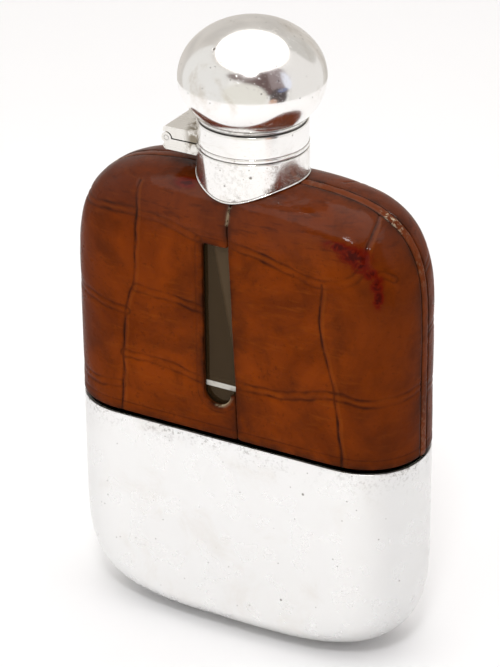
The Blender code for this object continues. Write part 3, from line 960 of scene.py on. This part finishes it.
def layered(colour, *coats):
    """Lay colours over a first one, each given with its share."""
    for share, coat in coats:
        values = [(*value, 1.0) if isinstance(value, tuple) else value
                  for value in (share, colour, coat)]
        colour = add_node(tree_of(*values), "Mix", dict(zip((0, 6, 7), values)),
                          data_type="RGBA").outputs[2]
    return colour


def stretched(place, scale, turn=(0.0, 0.0, 0.0)):
    inputs = {"Vector": place, "Rotation": turn, "Scale": scale}
    return add_node(tree_of(place), "Mapping", inputs).outputs["Vector"]


def cells(place, scale):
    """Distance to the nearest of scattered points, and a random value for each."""
    tree = tree_of(place)
    node = add_node(tree, "TexVoronoi", {"Vector": place, "Scale": scale})
    red = add_node(tree, "SeparateColor", {"Color": node.outputs["Color"]})
    return node.outputs["Distance"], red.outputs[0]


def specks(place, scale, share, size):
    """Small scattered spots: 1 inside a spot, on a given share of the cells."""
    distance, chance = cells(place, scale)
    spot = band(distance, size, size * 0.45)
    return times(spot, combine("GREATER_THAN", chance, 1.0 - share))


def scratches(place, turn, fineness, threshold):
    lines = stretched(place, (fineness * 0.01, fineness, fineness), turn)
    return band(noise(lines, 1.0, 2.0, 0.6), threshold, threshold + 0.05)


def layer(place, name):
    """A value that the piece's mesh carries."""
    return add_node(tree_of(place), "Attribute", attribute_name=name).outputs["Fac"]


def axis(place, name):
    return add_node(tree_of(place), "SeparateXYZ", {"Vector": place}).outputs[name]


def bump(height, strength, distance=0.00012):
    inputs = {"Strength": strength, "Distance": distance, "Height": height}
    return add_node(tree_of(height), "Bump", inputs).outputs["Normal"]


def make_silver(name, roughness, tarnish, wear, colour=(0.94, 0.932, 0.92), corner=False,
                pitted=1.0):
    """Old silver plate: clouds of tarnish, pits, specks and hairline scratches, with painted shade
    from a piece's tone layer.
    """
    material, shader, place = start_material(name)
    cloud = band(noise(place, 75.0, 6.0, 0.65, 0.6), 0.5, 0.78)
    film = band(noise(place, 22.0, 3.0), 0.35, 0.7)
    specked = band(noise(place, 1100.0, 6.0, 0.75), 0.5, 0.6)
    clumps = band(noise(place, 110.0, 3.0), 0.42, 0.62)
    grime = layer(place, "grime")
    marks = greatest(specks(place, 330.0, 0.22 * pitted, 0.16),
                     times(specks(place, 900.0, 0.12 * pitted, 0.22), 0.7),
                     specks(place, 95.0, 0.16 * pitted, 0.075),
                     times(grime, specked, clumps), band(grime, 0.85, 1.0, 0.0, 0.7))
    toned = layered(colour,
                    (times(cloud, tarnish), (0.62, 0.55, 0.46)),
                    (times(film, tarnish * 0.35), (0.8, 0.76, 0.7)),
                    # Painted shade: the tone layer greys the silver where a piece marks it.
                    (times(layer(place, "tone"), 0.75), tuple(0.8 * part for part in colour)),
                    (times(marks, 0.8), (0.12, 0.095, 0.075)))
    if corner:
        flat = stretched(place, (1.0, 1.0, 0.0))
        reach = add_node(tree_of(flat), "VectorMath", {0: flat}, operation="LENGTH")
        damp = times(band(reach.outputs["Value"], 0.0158, 0.0136),
                     band(noise(place, 500.0, 5.0), 0.4, 0.55), 0.85)
        toned = layered(toned, (damp, (0.17, 0.13, 0.07)))
    hairs = greatest(scratches(place, (0.0, 1.35, 0.03), 2400.0, 0.66),
                     scratches(place, (0.03, -0.3, 0.0), 1900.0, 0.67))
    shine = band(noise(place, 140.0, 5.0), 0.3, 0.75, roughness * 0.8, roughness * 1.35)
    shine = combine("ADD", shine, times(cloud, 0.12 * tarnish))
    shine = combine("ADD", shine, times(hairs, 0.1 * wear))
    relief = combine("SUBTRACT", times(hairs, -0.25 * wear), times(marks, 0.8))
    relief = combine("ADD", relief, times(noise(place, 60.0, 2.0), 1.2 * wear))
    fill(shader, {"Base Color": toned, "Roughness": shine, "Metallic": 1.0,
                  "Normal": bump(relief, 0.35)})
    return material


def make_leather(name, worn_edges=False):
    """Glazed orange-brown leather: clouded dye, scale lines painted dark as shade with ridges
    painted pale as highlights, fine creases, and painted shade over the panels' shoulders.
    """
    material, shader, place = start_material(name)
    height = axis(place, "Z")
    edge, flesh = layer(place, "edge"), layer(place, "flesh")
    streaks = noise(stretched(place, (160.0, 160.0, 900.0)), 1.0, 4.0)
    colour = layered(
        (0.215, 0.037, 0.0018),
        (band(noise(place, 38.0, 5.0, 0.6, 0.8), 0.36, 0.68), (0.12, 0.02, 0.0016)),
        (times(band(noise(place, 120.0, 6.0, 0.62, 0.4), 0.45, 0.72), 0.5),
         (0.058, 0.011, 0.0018)),
        (band(streaks, 0.52, 0.8, 0.0, 0.4), (0.235, 0.052, 0.004)),
        (band(noise(place, 900.0, 3.0, 0.6), 0.58, 0.72, 0.0, 0.35), (0.06, 0.012, 0.002)))
    if worn_edges:
        scuffs = band(noise(place, 800.0, 5.0, 0.7), 0.5, 0.6)
        colour = layered(colour, (0.45, (0.05, 0.0115, 0.0022)),
                         (times(layer(place, "worn"), scuffs), (0.5, 0.4, 0.27)),
                         (times(edge, 0.9), (0.014, 0.005, 0.002)))
    else:
        flames = noise(stretched(place, (170.0, 170.0, 900.0), (0.0, 0.25, 0.0)), 1.0)
        uneven = band(noise(place, 260.0, 4.0), 0.3, 0.65, 0.35, 1.0)
        run = times(layer(place, "stain"),
                    band(noise(place, 320.0, 4.0, 0.6, 1.5), 0.2, 0.6))
        colour = layered(
            colour,
            (band(combine("ABSOLUTE", axis(place, "X")), 0.022, 0.043, 0.0, 0.5),
             (0.07, 0.0125, 0.0018)),
            (times(band(flames, 0.5, 0.7), band(height, 0.1, 0.108, 0.0, 0.6)),
             (0.05, 0.009, 0.0016)),
            # Painted shade, with some darker dye: the leather darker over the shoulders, against
            # the overhead lamp's sheen there.
            (band(height, 0.1, 0.111, 0.0, 0.5), (0.06, 0.0095, 0.0016)),
            # Painted highlight: the tooled ridges lighter.
            (band(layer(place, "ridge"), 0.2, 1.0, 0.0, 0.3), (0.26, 0.066, 0.006)),
            # Painted shade in the tooled lines and creases.
            (times(band(layer(place, "groove"), 0.08, 0.8, 0.0, 0.95), uneven),
             (0.02, 0.0055, 0.002)),
            (times(edge, uneven), (0.022, 0.0055, 0.0018)),
            (band(run, 0.02, 0.55, 0.0, 0.95), (0.1, 0.005, 0.0012)),
            (band(run, 0.45, 0.85, 0.0, 0.8), (0.03, 0.002, 0.001)),
            (times(layer(place, "glue"), band(noise(place, 500.0, 4.0), 0.44, 0.56)),
             (0.42, 0.34, 0.22)))
    smooth = combine("SUBTRACT", 1.0, flesh)
    gloss = band(noise(place, 260.0, 5.0), 0.3, 0.75, 0.24, 0.42)
    glaze = times(band(height, 0.1, 0.111, 0.05, 0.3),
                  band(noise(place, 90.0, 4.0), 0.25, 0.6, 0.55, 1.0), smooth)
    creases = cells(stretched(place, (1.0, 1.0, 1.6)), 620.0)[0]
    grain = combine("ADD", times(creases, 0.5), times(noise(place, 1500.0, 4.0), 0.5))
    grain = combine("ADD", grain, times(streaks, 0.7))
    normal = bump(times(grain, smooth), 0.3)
    fill(shader, {"Base Color": layered(colour, (flesh, (0.05, 0.028, 0.012))),
                  "Roughness": greatest(gloss, flesh), "Specular IOR Level": 0.01,
                  "Coat Weight": glaze, "Coat Roughness": 0.07,
                  "Normal": normal, "Coat Normal": normal})
    return material


def make_glass(name):
    """Old olive glass, clear at the neck and in the cup; inside the jacket its colour is painted
    dark brown and murky as shade, with a pale painted glint low in the window and a lighter painted
    stripe on the window's right.
    """
    material, shader, place = start_material(name)
    height = axis(place, "Z")
    slant = combine("ADD", axis(place, "X"), times(height, 0.19))
    # Painted glint: a thin pale band low in the window.
    line = times(band(height, 0.065, 0.0652), band(height, 0.0665, 0.0663),
                 band(noise(place, 500.0), 0.3, 0.5, 0.6, 1.0))
    foot = LEATHER_FOOT * MM
    clear = combine("ADD", band(height, 0.106, 0.112), band(height, foot + 0.001, foot - 0.001))
    # Painted shade: the dark brown murk where the jacket covers the glass.
    colour = layered((0.03, 0.017, 0.007),
                     (noise(place, 60.0, 3.0), (0.045, 0.027, 0.012)),
                     # Painted highlight: the murk lighter right of a slanted line in the window.
                     (band(slant, 0.0161, 0.0173), (0.085, 0.055, 0.03)),
                     (line, (0.8, 0.78, 0.72)), (clear, (0.8, 0.82, 0.7)))
    fill(shader, {"Base Color": colour, "Transmission Weight": band(clear, 0.0, 1.0, 0.3, 1.0),
                  "Roughness": band(noise(place, 300.0, 3.0), 0.3, 0.8, 0.03, 0.07),
                  "IOR": 1.33, "Specular IOR Level": 0.38,
                  "Specular Tint": (1.0, 0.75, 0.45, 1.0),
                  "Normal": bump(noise(place, 70.0, 2.0), 0.15, 0.0004)})
    return material


def make_matt(name, first, second, scale, roughness, depth):
    """A matt, mottled material, such as cork or plaster."""
    material, shader, place = start_material(name)
    grains, chance = cells(place, scale)
    mottle = combine("ADD", times(chance, 0.6), times(noise(place, scale * 2.0), 0.6))
    fill(shader, {"Base Color": layered(first, (band(mottle, 0.3, 0.9), second)),
                  "Roughness": band(grains, 0.0, 1.0, roughness * 0.9, roughness),
                  "Normal": bump(grains, 0.5, depth)})
    return material


def make_floor_paper(name):
    material, shader, place = start_material(name)
    tone = layered((0.885, 0.89, 0.905), (noise(place, 12.0, 3.0), (0.905, 0.91, 0.925)))
    fill(shader, {"Base Color": tone, "Roughness": 0.7})
    return material


# ---- stage, light and camera

def camera_axes():
    """Right, up and back directions of the camera before its roll."""
    back = Vector((math.sin(CAMERA_AZIMUTH) * math.cos(CAMERA_ELEVATION),
                   -math.cos(CAMERA_AZIMUTH) * math.cos(CAMERA_ELEVATION),
                   math.sin(CAMERA_ELEVATION)))
    right = Vector((math.cos(CAMERA_AZIMUTH), math.sin(CAMERA_AZIMUTH), 0.0))
    return right, back.cross(right), back


def toward_camera():
    """The level direction to the camera's side."""
    back = camera_axes()[2]
    return Vector((back.x, back.y, 0.0)).normalized()


def build_camera():
    right, up, back = camera_axes()
    rolled_right = right * math.cos(CAMERA_ROLL) + up * math.sin(CAMERA_ROLL)
    rolled_up = up * math.cos(CAMERA_ROLL) - right * math.sin(CAMERA_ROLL)
    camera = put("camera", bpy.data.cameras.new("camera"))
    turn = Matrix((rolled_right, rolled_up, back)).transposed().to_4x4()
    camera.matrix_world = Matrix.Translation(CAMERA_TARGET + back * CAMERA_DISTANCE) @ turn
    camera.data.sensor_fit = "VERTICAL"
    camera.data.sensor_height = 36.0
    camera.data.lens = CAMERA_LENS
    camera.data.clip_start = 0.01
    bpy.context.scene.camera = camera


def build_floor():
    maker = bmesh.new()
    bmesh.ops.create_grid(maker, x_segments=2, y_segments=2, size=FLOOR_HALF)
    floor = loose("floor", maker)
    floor.data.materials.append(make_floor_paper("white_paper"))


def add_softbox(name, place, target, size, radiance, shape="RECTANGLE"):
    """A flat lamp of even radiance; size is in metres."""
    light = bpy.data.lights.new(name, "AREA")
    light.shape = shape
    light.size = size[0]
    area = size[0] * size[1]
    if shape == "RECTANGLE":
        light.size_y = size[1]
    else:
        area *= math.pi / 4.0
    light.energy = radiance * math.pi * area
    lamp = put(name, light)
    lamp.location = place
    lamp.rotation_euler = (place - Vector(target)).to_track_quat("Z", "Y").to_euler()


def direction_angles(ray):
    """A direction's angle from the camera's side, to its right, and its rise, in degrees."""
    def along(direction):
        node = add_node(tree_of(ray), "VectorMath", {0: ray, 1: direction},
                        operation="DOT_PRODUCT")
        return node.outputs["Value"]

    turn = combine("ARCTAN2", along(camera_axes()[0]), along(toward_camera()))
    rise = combine("ARCSINE", along(Vector((0.0, 0.0, 1.0))))
    degrees = 180.0 / math.pi
    return times(turn, degrees), times(rise, degrees)


def panel(angles, turns, rises):
    """1 inside a range of turns and rises, fading over its borders."""
    sides = []
    for value, (low, high) in zip(angles, (turns, rises)):
        sides.append(band(value, low - PANEL_SOFT, low + PANEL_SOFT))
        sides.append(band(value, high + PANEL_SOFT, high - PANEL_SOFT))
    return times(*sides)


def disc(angles, middle, reach):
    """1 inside an oval round a turn and a rise."""
    spans = []
    for value, centre, radius in zip(angles, middle, reach):
        away = times(combine("SUBTRACT", value, centre), 1.0 / radius)
        spans.append(times(away, away))
    return band(combine("ADD", *spans), 1.25, 0.8)


# The studio round the flask: turns are right of the camera's side, rises above the cap.
# Each entry is a shape, its turns and rises or its middle and reach, and its tone.
STUDIO = [
    (panel, (-130.0, -41.0), (-60.0, 44.0), (0.84, 0.83, 0.81)),
    (panel, (57.0, 134.0), (-60.0, 47.0), (0.86, 0.84, 0.82)),
    (disc, (128.0, 30.0), (17.0, 22.0), (0.62, 0.6, 0.57)),
    (panel, (-40.0, 56.0), (-60.0, 60.0), (0.93, 0.92, 0.9)),
    (disc, (20.0, 28.0), (36.0, 31.0), (0.15, 0.1, 0.095)),
    (disc, (44.0, 28.0), (17.0, 34.0), (0.3, 0.24, 0.24)),
    (disc, (-22.0, 37.0), (24.0, 7.0), (0.2, 0.15, 0.14)),
    (disc, (38.0, -10.0), (13.0, 20.0), (0.1, 0.08, 0.08)),
    (disc, (55.0, 20.0), (7.0, 18.0), (0.86, 0.88, 0.98)),
    (disc, (45.0, 4.0), (8.0, 4.0), (0.22, 0.24, 0.36)),
    (disc, (30.0, -19.0), (6.0, 7.0), (0.62, 0.4, 0.3)),
    (disc, (-12.0, -6.0), (33.0, 32.0), (0.82, 0.8, 0.74)),
]
BACKDROP = (0.7, 0.665, 0.625)
SURROUND_RADIUS = 0.335
SURROUND_TOP = 0.46


def studio_tone(ray):
    """The studio's tone in a direction seen from the cap."""
    angles = direction_angles(ray)
    folds = band(noise(ray, 2.2, 3.0), 0.35, 0.65)
    coats = [(shape(angles, first, second), colour) for shape, first, second, colour in STUDIO]
    return layered(BACKDROP, (folds, tuple(0.84 * part for part in BACKDROP)), *coats)


def build_world():
    """A grey studio with pale side screens and the dark figure of whoever takes the picture."""
    world = bpy.data.worlds.new("studio")
    bpy.context.scene.world = world
    world.use_nodes = True
    ray = add_node(world.node_tree, "TexCoord").outputs["Generated"]
    fill(world.node_tree.nodes["Background"], {"Color": studio_tone(ray)})


def build_surround():
    """The studio beyond the edge of the small table, as polished silver shows it."""
    points, faces = turned([(SURROUND_RADIUS / MM, 1.0), (SURROUND_RADIUS / MM, SURROUND_TOP / MM)],
                           96, closed=False)
    mesh = bpy.data.meshes.new("surround")
    mesh.from_pydata((points * MM).tolist(), [], faces)
    material, _, place = start_material("studio_screens")
    tree = material.node_tree
    away = add_node(tree, "VectorMath", {0: place, 1: (0.0, 0.0, BUN_CENTRE * MM)},
                    operation="SUBTRACT")
    ray = add_node(tree, "VectorMath", {0: away.outputs["Vector"]}, operation="NORMALIZE")
    glow = add_node(tree, "Emission", {"Color": studio_tone(ray.outputs["Vector"])})
    fill(tree.nodes["Material Output"], {"Surface": glow.outputs["Emission"]})
    mesh.materials.append(material)
    surround = put("surround", mesh)
    for hidden in ("camera", "diffuse", "shadow", "transmission"):
        setattr(surround, "visible_" + hidden, False)


def build_light():
    """One broad round softbox straight overhead, with a hotter edge towards the camera."""
    build_world()
    build_surround()
    middle = Vector((0.0, 0.0, 0.92))
    add_softbox("overhead", middle, middle - Vector((0.0, 0.0, 1.0)), (1.4, 1.4),
                OVERHEAD_RADIANCE, "DISK")
    add_softbox("hot_edge", toward_camera() * 0.7 + Vector((-0.04, 0.0, 0.9)), (0.0, 0.0, 0.08),
                (0.17, 0.11), KEY_RADIANCE)
    bpy.context.scene.view_settings.view_transform = "Standard"


# ---- assembly

polished = make_silver("polished_silver_plate", 0.14, 0.75, 0.8)
satin = make_silver("satin_silver_plate", 0.3, 0.25, 0.5, (0.85, 0.85, 0.845), pitted=0.35)
hinge_silver = make_silver("worn_silver_plate", 0.24, 0.9, 1.0, (0.84, 0.82, 0.78), corner=True)
leather = make_leather("glazed_leather")
welt_leather = make_leather("scuffed_welt_leather", worn_edges=True)
glass = make_glass("glass_painted_dark_in_jacket")
cork = make_matt("pressed_cork", (0.42, 0.25, 0.12), (0.2, 0.1, 0.04), 900.0, 0.9, 0.0002)
cement = make_matt("plaster_cement", (0.66, 0.62, 0.53), (0.5, 0.46, 0.38), 1500.0, 0.9, 0.0001)

CARRIED = {
    polished: ("bayonet_socket", "bun_base_disc", "bayonet_sleeve", "bayonet_lug_front",
               "bayonet_lug_back", "retaining_ring", "cork_backing_disc"),
    hinge_silver: ("hinge_pin",),
    cork: ("cork_liner",),
    cement: ("neck_cement",),
}
for material, nodes in CARRIED.items():
    for node in nodes:
        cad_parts[node].data.materials.clear()
        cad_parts[node].data.materials.append(material)

build_cup(satin)
build_glass(glass)
build_leather(leather)
build_welt("left_welt", -1.0, welt_leather)
build_welt("right_welt", 1.0, welt_leather)
build_collar(polished)
build_ring(polished)
build_bun(polished)
build_hinge(hinge_silver)
build_floor()
build_light()
build_camera()
